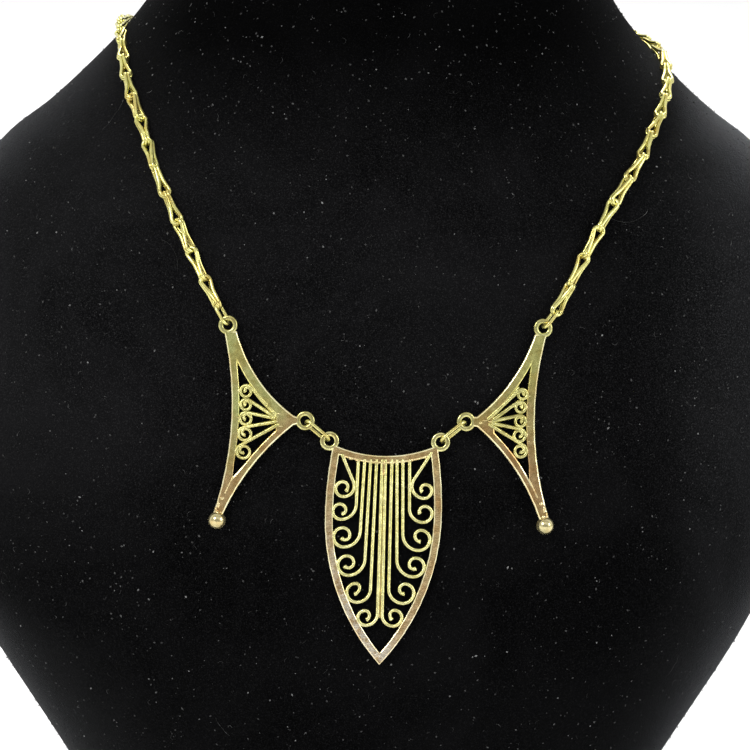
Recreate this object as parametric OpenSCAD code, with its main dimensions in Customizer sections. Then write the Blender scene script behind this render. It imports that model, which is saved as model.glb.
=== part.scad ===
// Filigree necklace on a black velvet neck bust.
// Three pierced panels hang from two lengths of folded-link chain that close at a clasp behind the neck.
// Millimetres, +Z up. The chest faces -Y and the bust stands on z = 0.

/* [Bust] */
// Height of the bust
bust_height = 212; // [205:1:225]
// Facets round the bust
bust_sides = 40; // [28:4:56]

/* [Panels] */
// Thickness of the panels' sheet
sheet = 0.7; // [0.6:0.02:0.74]
// Width of the flat rim round the centre panel
rim = 1.6; // [1.4:0.05:1.8]
// Width of the centre panel at its widest
panel_width = 23.4; // [23:0.1:24]
// Height of the centre panel from its corner rings down to its point
panel_height = 44.7; // [44:0.1:45.5]
// Width of the scroll wire in the centre panel
scroll_wire = 0.72; // [0.66:0.02:0.76]
// Width of the coil wire in the side panels
coil_wire = 0.58; // [0.54:0.02:0.62]
// Outer diameter of the rings at the panels' corners
ring_outer = 3.84; // [3.7:0.02:4]
// Hole of those rings
ring_hole = 1.9; // [1.88:0.02:1.96]
// Diameter of the ball at the foot of each side panel
ball = 3.4; // [3.2:0.1:3.6]

/* [Links] */
// Folded links in each length of chain
link_count = 24; // [23:1:25]
// Wire of a folded link
link_wire = 0.46; // [0.42:0.01:0.47]
// Radius of the bend at each end of a folded link
link_bend = 1.06; // [1.05:0.01:1.1]
// Wire of the plain oval links
oval_wire = 0.56; // [0.5:0.02:0.6]
// Radius of the bend at each end of an oval link
oval_bend = 1.16; // [1.14:0.02:1.2]
// Height of the links' and rings' centre lines above the velvet
lift = 1.56; // [1.54:0.02:1.7]

/* [Hidden] */
$fn = 48;

gold = [0.83, 0.68, 0.33];
velvet = [0.06, 0.06, 0.07];

// Columns of the bust's sections: height, half width, half depth, y of the middle, x of the middle
HALF_WIDTH = 1;
HALF_DEPTH = 2;
MIDDLE = 3;
LEAN = 4;
neck_rim = 1.6;
sections = [
    [0, 46, 43, -1, 0],
    [1.2, 47.8, 44.5, -1.2, 0],
    [30, 65.8, 48, -4, -0.5],
    [60, 82.9, 49.8, -7.7, -1.1],
    [80, 90, 51, -4, -0.8],
    [100, 92.7, 50.5, -0.5, 0],
    [120, 92.5, 49.5, 2.5, 0.8],
    [135, 90.1, 48, 4.5, 1.4],
    [147, 85, 46.5, 6.5, 1.6],
    [155, 78.2, 45.5, 9, 1.6],
    [161, 70.2, 44.5, 10.5, 1.5],
    [168, 62.4, 43.8, 12.3, 1.4],
    [176, 54.6, 43, 14, 1.4],
    [185, 48.1, 42, 15, 1.4],
    [196, 44.9, 42, 16, 1.6],
    [bust_height - neck_rim, 44.5, 42, 16.5, 1.7],
    [bust_height, 42.9, 40.4, 16.5, 1.7]
];
bust_rings = [0, 1.2, 12, 24, 36, 46, 54, 60, 66, 73, 80, 90, 100, 110, 120, 128, 135, 141, 147, 151, 155,
              158, 161, 164.5, 168, 172, 176, 180, 185, 190, 196, bust_height - neck_rim, bust_height];

// Columns of a chain's route: angle round the bust from the front, height on it
ANGLE = 0;
HEIGHT = 1;
left_route = [[-22.1, 128], [-27.2, 139.1], [-33, 148.7], [-42.1, 158.4], [-53.5, 165.6], [-66.5, 172],
              [-80, 176.1], [-93, 177.6], [-107, 176.4], [-125, 174.2], [-145, 173.2], [-170.5, 173]];
right_route = [[20.9, 127.6], [26, 139.3], [32.2, 149], [42.5, 157.3], [49.3, 160.9], [62.2, 166.5],
               [75.8, 171.2], [86, 173.6], [96, 174.6], [107, 174.2], [125, 173.2], [145, 173], [172.5, 173]];
route_steps = 160;

// Turn of the folded links about the chain's line at its two ends
left_twist = [-42, -180];
right_twist = [22, 180];

// Panels: place of the origin, turn to the side and lean back
center_origin = [0, -51.64, 102.92];
center_lean = 10;
center_tilt = 0.9;
side_origin = [31.58, -44.57, 124.9];
side_yaw = 7.93;
side_lean = 11.65;

// Centre panel, from the middle of its two corner rings
corner_ring = [11.1, 0];
widest_at = -14.8;
upper_side = 80;
lower_side = lower_side_radius(panel_width / 2, panel_height + widest_at);
top_bow = 26;
top_dip = 2.85;
bar_depth = 1.45;
// Flat strip of solder between the two middle stems: width and height, and where it starts
strip = [1.4, 3.6];
strip_head = -4;

// Columns of the scrolls: stem top, start of the curl, foot of the curl, width across, height of the lobe
STEM_TOP = 0;
STEM_FOOT = 1;
FOOT = 2;
SPAN = 3;
LOBE = 4;
scrolls = [
    [5.1, 5.35, -15.85, 4.6, 3.1],
    [3.85, 4.27, -21.4, 5.4, 3.93],
    [2.62, 3.2, -26.9, 5.5, 3.8],
    [1.48, 1.82, -32.3, 5.2, 3.6],
    [0.33, 0.33, -36.9, 4.35, 3]
];
stem_head = -3.9;
// The outermost scroll, whose stem slants down from the corner
corner_scroll = [8.9, 5.7, -11.17, 4.05, 2.86];
corner_stem_head = -2.6;
corner_bend = 2.4;
// Radii of a scroll's later quarter turns, as shares of its lobe's height
lobe_shares = [0.54, 0.46, 0.40, 0.22, 0.17];
// Radius of a wire's round end, as a share of its width
wire_end = 0.58;

// Side panels, from the hole of the top ring, u inward and w up
side_ring = [16.1, -18.4];
outer_rim = 1.55;
upper_rim = 1.75;
lower_rim = 1.55;
stem_meet = [12.5, -18.35];
opening = [[0, -33], [10.5, 28]];
upper_edge = [[1.66, -1.34], [5.98, -9.85], [13.9, -17.6]];
outer_edge_head = [-0.64, -1.63];
lower_edge_head = [13.9, -19.5];
// Corners of the sheet before its edges are sawn; those at the foot are counted from the ball's middle
blank = [[-1.3, -0.4], [1.8, -0.4], [16.1, -17.3], [16.1, -19.6]];
blank_foot = [[1.2, 0.8], [-1.2, 0.8]];
outer_edge_foot = [-0.7, 1.9];
lower_edge_foot = [1.45, 2];
edge_facets = 160;
// Columns of the panels' own shapes: ball, middle of the outer edge, middle of the lower edge
BALL = 0;
OUTER_MID = 1;
LOWER_MID = 2;
left_shape = [[-0.7, -39.1], [1.36, -19.5], [6.95, -26.3]];
right_shape = [[0.3, -39.6], [2.05, -20], [7.5, -26.5]];
// How far a coil bites into the outer bar, so that they are soldered
coil_bite = 0.14;
// Columns of the coils: height of the middle, radius of the outer turn
coils = [[-13.2, 1.15], [-15.9, 1.1], [-18.6, 1.25], [-21.6, 1.3], [-24.8, 1.4]];
coil_shares = [1, 0.97, 0.9, 0.8, 0.5, 0.4];

// How far a folded link's end reaches past the start of the next link
overlap = 0.94;
// Space between the two strands that lie side by side in a folded link's end
strand_gap = 0.02;
bend_steps = 5;
wire_sides = 5;
// Turns of the plain oval links about their own length, and how far inside a hole their wire lies
connector_turn = 22;
left_end_turn = -20;
right_end_turn = 8;
hole_seat = 0.27;

// Clasp: radius of the barrel and of the rings at its ends, and how much farther from the velvet it lies
clasp_radius = 1;
clasp_bevel = 0.4;
clasp_rise = 0.3;
eye_radius = 1.15;
eye_wire = 0.6;
eye_reach = overlap / 2;

// Unit vector
function unit(v) = v / norm(v);

// Point of a three-point circle's middle
function circle_middle(p) =
    let (a = p[0], b = p[1], c = p[2],
         d = 2 * (a.x * (b.y - c.y) + b.x * (c.y - a.y) + c.x * (a.y - b.y)))
    [((a * a) * (b.y - c.y) + (b * b) * (c.y - a.y) + (c * c) * (a.y - b.y)) / d,
     ((a * a) * (c.x - b.x) + (b * b) * (a.x - c.x) + (c * c) * (b.x - a.x)) / d];

// Radius of the arc that leaves the widest point upright and meets its mirror image at the panel's point
function lower_side_radius(half, drop) = (half * half + drop * drop) / (2 * half);

// Row of a table that holds x in its first column, counted in the table's own direction
function row_of(rows, x) =
    let (way = sign(rows[1][0] - rows[0][0]))
    max([0, for (i = [0 : len(rows) - 2]) if ((x - rows[i][0]) * way >= 0) i]);

// Slope of a column at a row
function slope_at(rows, i, column) =
    let (a = rows[max(i - 1, 0)], b = rows[min(i + 1, len(rows) - 1)])
    (b[column] - a[column]) / (b[0] - a[0]);

// Smooth value of a column at x
function smooth(rows, x, column) =
    let (i = row_of(rows, x), gap = rows[i + 1][0] - rows[i][0], t = (x - rows[i][0]) / gap)
    (2 * t^3 - 3 * t^2 + 1) * rows[i][column] + (t^3 - 2 * t^2 + t) * gap * slope_at(rows, i, column)
    + (3 * t^2 - 2 * t^3) * rows[i + 1][column] + (t^3 - t^2) * gap * slope_at(rows, i + 1, column);

// Point of the bust's surface at an angle from the front and a height
function skin(angle, z) =
    [smooth(sections, z, LEAN) + smooth(sections, z, HALF_WIDTH) * sin(angle),
     smooth(sections, z, MIDDLE) - smooth(sections, z, HALF_DEPTH) * cos(angle),
     z];

// Direction out of the surface there
function outward(angle, z) =
    let (e = 0.2)
    unit(cross(skin(angle + e, z) - skin(angle - e, z), skin(angle, z + e) - skin(angle, z - e)));

// Point on a chain's centre line, t from 0 at its panel to 1 at the clasp
function route_angle(route, t) = route[0][ANGLE] + t * (route[len(route) - 1][ANGLE] - route[0][ANGLE]);
function route_normal(route, t) =
    let (a = route_angle(route, t)) outward(a, smooth(route, a, HEIGHT));
function route_point(route, t) =
    let (a = route_angle(route, t), z = smooth(route, a, HEIGHT))
    skin(a, z) + (lift + clasp_rise * t^6) * outward(a, z);

// Values of t that part a route into equal lengths
function even_steps(route, count) =
    let (points = [for (i = [0 : route_steps]) route_point(route, i / route_steps)],
         reach = [for (i = 0, s = 0; i <= route_steps;
                       s = s + (i < route_steps ? norm(points[i + 1] - points[i]) : 0), i = i + 1)
                  [s, i / route_steps]],
         total = reach[route_steps][0])
    [for (k = [0 : count]) lookup(total * k / count, reach)];

// Axes for something that runs from a to b and faces out: across, out and along
function axes(a, b, out) =
    let (along = unit(b - a), facing = unit(out - (out * along) * along))
    [cross(facing, along), facing, along];

module set_along(a, b, out) {
    m = axes(a, b, out);
    c = (a + b) / 2;
    multmatrix([[m[0].x, m[1].x, m[2].x, c.x],
                [m[0].y, m[1].y, m[2].y, c.y],
                [m[0].z, m[1].z, m[2].z, c.z]]) children();
}

// Closed tube or stack through rings of points
function band_faces(rings, sides, closed) =
    [for (i = [0 : rings - (closed ? 1 : 2)], k = [0 : sides - 1])
        let (j = (i + 1) % rings, n = (k + 1) % sides)
        [i * sides + k, j * sides + k, j * sides + n, i * sides + n]];

module neck_bust() {
    points = [for (z = bust_rings, k = [0 : bust_sides - 1]) skin(360 * k / bust_sides, z)];
    rings = len(bust_rings);
    top = (rings - 1) * bust_sides;
    color(velvet)
        polyhedron(points, concat(
            band_faces(rings, bust_sides, false),
            [[for (k = [0 : bust_sides - 1]) k]],
            [[for (k = [bust_sides - 1 : -1 : 0]) top + k]]));
}

// Quarter ring that leaves the origin downward and turns to the left of the page
module quarter_turn(radius, wire) {
    translate([-radius, 0])
        intersection() {
            difference() {
                circle(radius + wire / 2);
                circle(radius - wire / 2);
            }
            translate([0, -radius - wire]) square(radius + wire);
        }
}

// Quarter turns of given radii, each one starting where the last one ends
module curl(radii, wire, i = 0) {
    quarter_turn(radii[i], wire);
    translate([-radii[i], -radii[i]]) rotate(-90)
        if (i < len(radii) - 1)
            curl(radii, wire, i + 1);
        else
            circle(wire_end * wire);
}

// Straight flat wire that runs down, with level ends
module stem(head, foot, wire) {
    side = [wire / 2, 0];
    polygon([head - side, foot - side, foot + side, head + side]);
}

// One scroll on the right of the centre panel's middle
module scroll(row, head) {
    later = [for (share = lobe_shares) share * row[LOBE]];
    first = row[SPAN] - later[0];
    start = [row[STEM_FOOT], row[FOOT] + first];
    stem([row[STEM_TOP], head], start, scroll_wire);
    translate(start) mirror([1, 0]) curl(concat([first], later), scroll_wire);
}

// The scroll beside the rim, whose slanting stem bends down into the curl
module slanting_scroll() {
    later = [for (share = lobe_shares) share * corner_scroll[LOBE]];
    first = corner_scroll[SPAN] - later[0];
    start = [corner_scroll[STEM_FOOT], corner_scroll[FOOT] + first];
    gap = start + [corner_bend, 0] - [corner_scroll[STEM_TOP], corner_stem_head];
    slant = asin(corner_bend / norm(gap)) - atan2(gap.y, gap.x) - 90;
    long = sqrt(gap * gap - corner_bend * corner_bend);
    translate(start) {
        mirror([1, 0]) curl(concat([first], later), scroll_wire);
        intersection() {
            translate([corner_bend, 0]) rotate(-slant) translate([-corner_bend, 0]) {
                translate([-scroll_wire / 2, 0]) square([scroll_wire, long]);
                mirror([1, 0]) quarter_turn(corner_bend, scroll_wire);
            }
            translate([-long, 0]) square(3 * long);
        }
    }
}

// Outline of the centre panel, drawn in by an inset
module shield(inset, top_inset) {
    half = panel_width / 2;
    difference() {
        union() {
            side_pair(half, lower_side, inset, -1);
            side_pair(half, upper_side, inset, 1);
        }
        translate([0, top_bow - top_dip]) circle(top_bow + top_inset);
    }
}

// What lies between two arcs that bulge left and right, above or below the widest line
module side_pair(half, radius, inset, way) {
    intersection() {
        translate([half - radius, widest_at]) circle(radius - inset);
        translate([radius - half, widest_at]) circle(radius - inset);
        translate([-half, way > 0 ? widest_at : widest_at - panel_height]) square([2 * half, panel_height]);
    }
}

module ring_disc() { circle(ring_outer / 2); }
module ring_bore() { circle(ring_hole / 2); }

module center_panel_drawing() {
    difference() {
        union() {
            difference() {
                shield(0, 0);
                shield(rim, bar_depth);
            }
            for (side = [0, 1]) mirror([side, 0]) {
                translate(corner_ring) ring_disc();
                for (row = scrolls) scroll(row, stem_head);
                slanting_scroll();
            }
            translate([-strip.x / 2, strip_head - strip.y]) square(strip);
        }
        for (side = [0, 1]) mirror([side, 0]) translate(corner_ring) ring_bore();
    }
}

module center_panel() {
    color(gold)
        translate(center_origin) rotate([90 - center_lean, 0, 0]) rotate(-center_tilt)
            linear_extrude(sheet, center = true) center_panel_drawing();
}

// Disc that bites a concave edge out of a side panel
module edge_disc(edge, grow) {
    middle = circle_middle(edge);
    translate(middle) circle(norm(edge[0] - middle) + grow, $fn = edge_facets);
}

// A coil against the side panel's outer bar, with its stem from the meeting point
module coil(middle, radius) {
    gap = middle - stem_meet;
    heading = atan2(gap.y, gap.x) - asin(radius / norm(gap));
    long = sqrt(gap * gap - radius * radius);
    translate(middle - radius * [cos(heading + 90), sin(heading + 90)])
        rotate(heading + 90) {
            translate([-coil_wire / 2, 0]) square([coil_wire, long]);
            mirror([1, 0]) curl([for (share = coil_shares) share * radius], coil_wire);
        }
}

// Right-hand side of a circle at a height
function right_side(edge, w) =
    let (m = circle_middle(edge), r = norm(edge[0] - m)) m.x + sqrt(r * r - (w - m.y) * (w - m.y));

module side_panel_drawing(shape) {
    foot = shape[BALL];
    outer_edge = [outer_edge_head, shape[OUTER_MID], foot + outer_edge_foot];
    lower_edge = [lower_edge_head, shape[LOWER_MID], foot + lower_edge_foot];
    difference() {
        union() {
            difference() {
                polygon(concat(blank, [for (corner = blank_foot) foot + corner]));
                edge_disc(outer_edge, 0);
                edge_disc(upper_edge, 0);
                edge_disc(lower_edge, 0);
                difference() {
                    translate(opening[0]) square(opening[1]);
                    edge_disc(outer_edge, outer_rim);
                    edge_disc(upper_edge, upper_rim);
                    edge_disc(lower_edge, lower_rim);
                }
            }
            ring_disc();
            translate(side_ring) ring_disc();
            for (row = coils) {
                rim_side = right_side(outer_edge, row[0]) + outer_rim;
                coil([rim_side + row[1] + coil_wire / 2 - coil_bite, row[0]], row[1]);
            }
        }
        ring_bore();
        translate(side_ring) ring_bore();
    }
}

module side_panel(shape) {
    color(gold)
        translate([-side_origin.x, side_origin.y, side_origin.z]) rotate([90 - side_lean, 0, -side_yaw]) {
            linear_extrude(sheet, center = true) side_panel_drawing(shape);
            translate(shape[BALL]) sphere(d = ball);
        }
}

module left_panel() { side_panel(left_shape); }
module right_panel() { mirror([1, 0, 0]) side_panel(right_shape); }

// Oval link whose wire's centre line is this long from end to end, standing along Z
module oval_link(long) {
    straight = round(1000 * (long - 2 * oval_bend)) / 1000;
    rotate([90, 0, 90])
        for (end = [0, 1]) rotate(180 * end) {
            translate([0, straight / 2])
                rotate_extrude(angle = 180) translate([oval_bend, 0]) circle(d = oval_wire);
            translate([oval_bend, 0]) rotate([90, 0, 0]) cylinder(h = straight, d = oval_wire, center = true);
        }
}

// A panel point in the model's frame
function on_plane(origin, yaw, lean, p) =
    origin + p.x * [cos(yaw), sin(yaw), 0] + p.y * [-sin(yaw) * sin(lean), cos(yaw) * sin(lean), cos(lean)];
function side_hole(p) =
    on_plane([-side_origin.x, side_origin.y, side_origin.z], -side_yaw, side_lean, p);
function center_hole(way) =
    on_plane(center_origin, 0, center_lean,
             corner_ring.x * way * [cos(center_tilt), -sin(center_tilt)]);

// From a side panel's inner ring to the centre panel's corner ring, left hand
module connector(way) {
    from_left = side_hole(side_ring);
    from = [-way * from_left.x, from_left.y, from_left.z];
    to = center_hole(way);
    lean_out = [0, -cos(center_lean), sin(center_lean)];
    set_along(to, from, lean_out)
        rotate([0, 0, -way * connector_turn]) oval_link(norm(to - from) - 2 * hole_seat);
}

module left_connector() { color(gold) connector(-1); }
module right_connector() { color(gold) connector(1); }

// From a side panel's top ring to the first folded link
module end_link(way, route, turn) {
    ring = [way * side_origin.x, side_origin.y, side_origin.z];
    joint = route_point(route, 0);
    along = unit(joint - ring);
    set_along(ring + hole_seat * along, joint + eye_reach * along, route_normal(route, 0))
        rotate([0, 0, turn])
            oval_link(norm(joint - ring) - hole_seat + eye_reach);
}

module left_end_link() { color(gold) end_link(-1, left_route, left_end_turn); }
module right_end_link() { color(gold) end_link(1, right_route, right_end_turn); }

// Rings of half a folded link: an end bent in the plane x = side, then the other end bent in y = side
function half_link(side, reach, flip) =
    [for (end = [0, 1], k = [0 : bend_steps])
        let (turn = 180 * k / bend_steps, c = cos(turn), s = sin(turn),
             middle = end == 0 ? [side, -link_bend * c, reach + link_bend * s]
                               : [link_bend * c, side, -reach - link_bend * s],
             b = end == 0 ? [1, 0, 0] : [c, 0, -s],
             n = end == 0 ? [0, c, -s] : [0, -1, 0])
        for (q = [0 : wire_sides - 1])
            let (a = 360 * q / wire_sides,
                 p = middle + link_wire / 2 * (cos(a) * b + sin(a) * n))
            [flip * p.x, flip * p.y, p.z]];

// Folded link standing along Z, with its ends' centre lines this far apart
module folded_link(long) {
    reach = long / 2 - link_bend;
    side = (link_wire + strand_gap) / 2;
    points = concat(half_link(side, reach, 1), half_link(side, reach, -1));
    polyhedron(points, band_faces(4 * (bend_steps + 1), wire_sides, true));
}

module chain(route, twist) {
    steps = even_steps(route, link_count);
    joints = [for (t = steps) route_point(route, t)];
    normals = [for (t = steps) route_normal(route, t)];
    color(gold)
        for (i = [0 : link_count - 1])
            set_along(joints[i], joints[i + 1], normals[i] + normals[i + 1])
                rotate([0, 0, twist[0] + (twist[1] - twist[0]) * i / (link_count - 1)])
                    folded_link(norm(joints[i + 1] - joints[i]) + overlap);
}

module left_chain() { chain(left_route, left_twist); }
module right_chain() { chain(right_route, right_twist); }

// Barrel with a ring at each end, behind the neck
module clasp() {
    left_joint = route_point(left_route, 1);
    right_joint = route_point(right_route, 1);
    apart = norm(right_joint - left_joint);
    eye_at = apart / 2 + eye_reach - eye_radius;
    half = eye_at - eye_radius;
    color(gold)
        set_along(left_joint, right_joint, route_normal(left_route, 1) + route_normal(right_route, 1)) {
            rotate_extrude()
                polygon([[0, -half], [clasp_radius - clasp_bevel, -half], [clasp_radius, clasp_bevel - half],
                         [clasp_radius, half - clasp_bevel], [clasp_radius - clasp_bevel, half], [0, half]]);
            for (end = [-1, 1]) translate([0, 0, end * eye_at]) rotate([90, 0, 0])
                rotate_extrude() translate([eye_radius, 0]) circle(d = eye_wire);
        }
}

neck_bust();
center_panel();
left_panel();
right_panel();
left_connector();
right_connector();
left_end_link();
right_end_link();
left_chain();
right_chain();
clasp();
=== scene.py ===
import random
from math import asin, atan2, cos, degrees, exp, hypot, pi, radians, sin, sqrt

import bpy
import numpy as np
from mathutils import Matrix, Vector
from numpy.linalg import norm


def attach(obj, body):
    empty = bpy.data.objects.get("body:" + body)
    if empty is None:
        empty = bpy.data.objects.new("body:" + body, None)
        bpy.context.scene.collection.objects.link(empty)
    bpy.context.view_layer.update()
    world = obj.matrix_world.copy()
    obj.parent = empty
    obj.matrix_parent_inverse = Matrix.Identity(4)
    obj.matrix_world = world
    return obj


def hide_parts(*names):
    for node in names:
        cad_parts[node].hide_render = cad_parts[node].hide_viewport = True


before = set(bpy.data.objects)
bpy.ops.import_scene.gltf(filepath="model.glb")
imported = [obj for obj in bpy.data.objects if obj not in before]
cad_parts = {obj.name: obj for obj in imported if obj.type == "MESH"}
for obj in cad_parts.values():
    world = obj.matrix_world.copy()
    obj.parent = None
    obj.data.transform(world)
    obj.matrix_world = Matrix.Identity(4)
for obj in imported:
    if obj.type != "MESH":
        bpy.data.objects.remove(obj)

scene = bpy.context.scene
mm = 0.001
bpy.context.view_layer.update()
print("frame loaded:", len(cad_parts), "nodes")


# Camera, set where the photograph was taken from

cameraPlace = {
    "azimuth": -3.3,      # degrees, to the left of straight in front
    "elevation": 12.0,
    "roll": -1.25,
    "distance": 900.0,    # mm from the target
    "target": (-2.1, -47.0, 115.5),
    "width": 150.0,       # mm across the picture at the target
    "sensor": 36.0,
    "seesTo": 60.0,       # metres
}


def newObject(name, data):
    made = bpy.data.objects.new(name, data)
    scene.collection.objects.link(made)
    return made


def cameraAxes(place):
    az, el, ro = (radians(place[k]) for k in ("azimuth", "elevation", "roll"))
    back = Vector((sin(az) * cos(el), -cos(az) * cos(el), sin(el)))
    side = Vector((cos(az), sin(az), 0))
    top = back.cross(side)
    right = side * cos(ro) - top * sin(ro)
    up = side * sin(ro) + top * cos(ro)
    return right, up, back


def makeCamera(place):
    right, up, back = cameraAxes(place)
    eye = Vector(place["target"]) + back * place["distance"]
    data = bpy.data.cameras.new("viewCamera")
    data.sensor_width = place["sensor"]
    data.lens = place["sensor"] * place["distance"] / place["width"]
    data.clip_end = place["seesTo"]
    cam = newObject("viewCamera", data)
    turn = Matrix((right, up, back)).transposed().to_4x4()
    cam.matrix_world = Matrix.Translation(eye * mm) @ turn
    scene.camera = cam


makeCamera(cameraPlace)


# Helpers for building pieces; everything is drawn in millimetres

class Shell:
    # collects points and faces, then becomes one mesh
    def __init__(self):
        self.points = []
        self.faces = []
        self.smooth = []
        self.shades = []

    def add(self, points, faces, smooth=True, shade=0):
        start = len(self.points)
        self.points.extend([tuple(p) for p in points])
        self.faces.extend([tuple(start + i for i in f) for f in faces])
        self.smooth.extend([smooth] * len(faces))
        self.shades.extend([shade] * len(faces))

    def addFace(self, face, flip, smooth):
        # one face over points that are there already
        self.faces.append(tuple(reversed(face)) if flip else tuple(face))
        self.smooth.append(smooth)
        self.shades.append(0)


def bandFaces(rings, sides, closedRings=False):
    # faces between rings of points, one ring after another
    made = []
    for i in range(rings if closedRings else rings - 1):
        j = (i + 1) % rings
        for k in range(sides):
            n = (k + 1) % sides
            made.append((i * sides + k, i * sides + n, j * sides + n, j * sides + k))
    return made


def finishPiece(name, shell, looks, node, place=None):
    # place, where given, is the origin and axes of a flat drawing
    mesh = bpy.data.meshes.new(name)
    points = np.array(shell.points, float)
    if place is not None:
        origin, u, w, n = (np.array(v, float) for v in place)
        points = origin + points[:, :1] * u + points[:, 1:2] * w + points[:, 2:3] * n
    mesh.from_pydata((points * mm).tolist(), [], shell.faces)
    mesh.polygons.foreach_set("use_smooth", shell.smooth)
    for look in looks:
        mesh.materials.append(materials[look])
    mesh.polygons.foreach_set("material_index", shell.shades)
    mesh.validate()
    mesh.update()
    piece = newObject(name, mesh)
    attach(piece, "root")
    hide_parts(node)
    print("  %s: %d faces" % (name, len(mesh.polygons)))


def unit(v):
    return v / norm(v)


def sweep(points, radius, sides=10, closed=False, ripple=0.0, pitch=0.5, flat=1.0, up=None, endGrow=0.0):
    # round or rippled wire along a line of points, with one radius or one for each point;
    # up keeps the section level in a flat drawing, endGrow thickens the wire's last end
    pts = np.array(points, float)
    count = len(pts)
    radii = np.ones(count) * radius
    if closed:
        run = np.roll(pts, -1, 0) - np.roll(pts, 1, 0)
    else:
        run = np.gradient(pts, axis=0)
    run /= norm(run, axis=1)[:, None]
    sideways = np.zeros_like(pts)
    if up is not None:
        sideways = np.cross(run, np.array(up, float))
        sideways /= norm(sideways, axis=1)[:, None]
    else:
        anyWay = [0.31, 0.2, 0.93]
        sideways[0] = unit(np.cross(run[0], anyWay))
        for i in range(1, count):
            sideways[i] = unit(sideways[i - 1] - run[i] * np.dot(sideways[i - 1], run[i]))
        if closed:
            last = unit(sideways[-1] - run[0] * np.dot(sideways[-1], run[0]))
            other = np.cross(run[0], sideways[0])
            miss = atan2(np.dot(last, other), np.dot(last, sideways[0]))
            for i in range(count):
                a = -miss * i / count
                cross = np.cross(run[i], sideways[i])
                sideways[i] = cos(a) * sideways[i] + sin(a) * cross
    lift = np.cross(sideways, run)
    lengths = np.concatenate([[0], np.cumsum(norm(np.diff(pts, axis=0), axis=1))])
    angles = np.arange(sides) * 2 * pi / sides
    rings = []
    for i in range(count):
        r = radii[i]
        ease = r * 1.6
        r *= 1 + endGrow * max(0.0, 1 - (lengths[-1] - lengths[i]) / ease)
        wave = 1 + ripple * np.cos(2 * angles - 2 * pi * lengths[i] / pitch)
        rings.append(pts[i] + (r * wave * np.cos(angles))[:, None] * sideways[i]
                     + (r * flat * wave * np.sin(angles))[:, None] * lift[i])
    made = [p for ring in rings for p in ring]
    faces = bandFaces(count, sides, closed)
    if not closed:
        # rounded tips: one smaller ring, then a point, both in shares of the radius
        ringOut, ringSize, tipOut = 0.32, 0.74, 0.55
        for end, way in ((0, -1), (count - 1, 1)):
            ringAt = len(made)
            out = way * run[end] * radii[end]
            made.extend([pts[end] + out * ringOut + ringSize * (q - pts[end]) for q in rings[end]])
            made.append(pts[end] + out * tipOut)
            for k in range(sides):
                n = (k + 1) % sides
                a, b = end * sides + k, end * sides + n
                c, d = ringAt + k, ringAt + n
                if way > 0:
                    faces += [(a, b, d, c), (c, d, ringAt + sides)]
                else:
                    faces += [(b, a, c, d), (d, c, ringAt + sides)]
    return made, faces


def lathe(profile, sides, closed=False):
    # a profile of (radius, height) turned about its own axis
    angles = np.arange(sides) * 2 * pi / sides
    made = [(r * cos(a), r * sin(a), h) for r, h in profile for a in angles]
    return made, bandFaces(len(profile), sides, closed)


def spread(a, b, count):
    return [a + (b - a) * i / (count - 1) for i in range(count)]


def turnPath(start, heading, radii, step):
    # arcs to the left, one after another, as (radius, degrees); heading in degrees
    p = np.array(start, float)
    phi = radians(heading)
    made = [tuple(p)]
    for r, part in radii:
        ahead = np.array((cos(phi), sin(phi)))
        left = np.array((-sin(phi), cos(phi)))
        centre = p + r * left
        whole = radians(part)
        count = max(3, int(round(r * whole / step)))
        for i in range(1, count + 1):
            a = whole * i / count
            made.append(tuple(centre - r * (cos(a) * left - sin(a) * ahead)))
        phi += whole
        p = np.array(made[-1])
    return made


def linePath(a, b, step):
    count = max(2, int(round(norm(b - a) / step)) + 1)
    return [tuple(p) for p in spread(a, b, count)]


def circleThrough(a, b, c):
    # x, y and radius of the circle through three points
    d = 2 * (a[0] * (b[1] - c[1]) + b[0] * (c[1] - a[1]) + c[0] * (a[1] - b[1]))
    qa, qb, qc = (p[0] ** 2 + p[1] ** 2 for p in (a, b, c))
    x = (qa * (b[1] - c[1]) + qb * (c[1] - a[1]) + qc * (a[1] - b[1])) / d
    y = (qa * (c[0] - b[0]) + qb * (a[0] - c[0]) + qc * (b[0] - a[0])) / d
    return x, y, hypot(a[0] - x, a[1] - y)


def crossing(p, q, near):
    # the crossing of two circles (x, y, radius) that lies nearer to a point
    dx, dy = q[0] - p[0], q[1] - p[1]
    d = hypot(dx, dy)
    a = (p[2] ** 2 - q[2] ** 2 + d * d) / (2 * d)
    h = sqrt(max(0.0, p[2] ** 2 - a * a))
    x, y = p[0] + a * dx / d, p[1] + a * dy / d
    both = [(x + h * dy / d, y - h * dx / d), (x - h * dy / d, y + h * dx / d)]
    return min(both, key=lambda c: hypot(c[0] - near[0], c[1] - near[1]))


def arcPoints(circle, a, b, count):
    # points on a circle from a to b the short way, b left out
    x, y, r = circle
    s = atan2(a[1] - y, a[0] - x)
    e = atan2(b[1] - y, b[0] - x)
    gap = (e - s + pi) % (2 * pi) - pi
    turns = [s + gap * i / count for i in range(count)]
    return [(x + r * cos(t), y + r * sin(t)) for t in turns]


def onCircleAtX(circle, x, upper):
    cx, cy, r = circle
    h = sqrt(r * r - (x - cx) ** 2)
    return (x, cy + h if upper else cy - h)


def onCircleAtY(circle, y, right):
    cx, cy, r = circle
    h = sqrt(r * r - (y - cy) ** 2)
    return (cx + h if right else cx - h, y)


panelWork = {               # what all three panels share
    "sheet": 0.72,
    "ring": {"outer": 1.92, "hole": 0.95, "sheet": 0.71, "bevel": 0.24, "sides": 56},
    "ripple": 0.09,
    "twist": 0.27,          # from one ripple to the next
}


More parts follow.
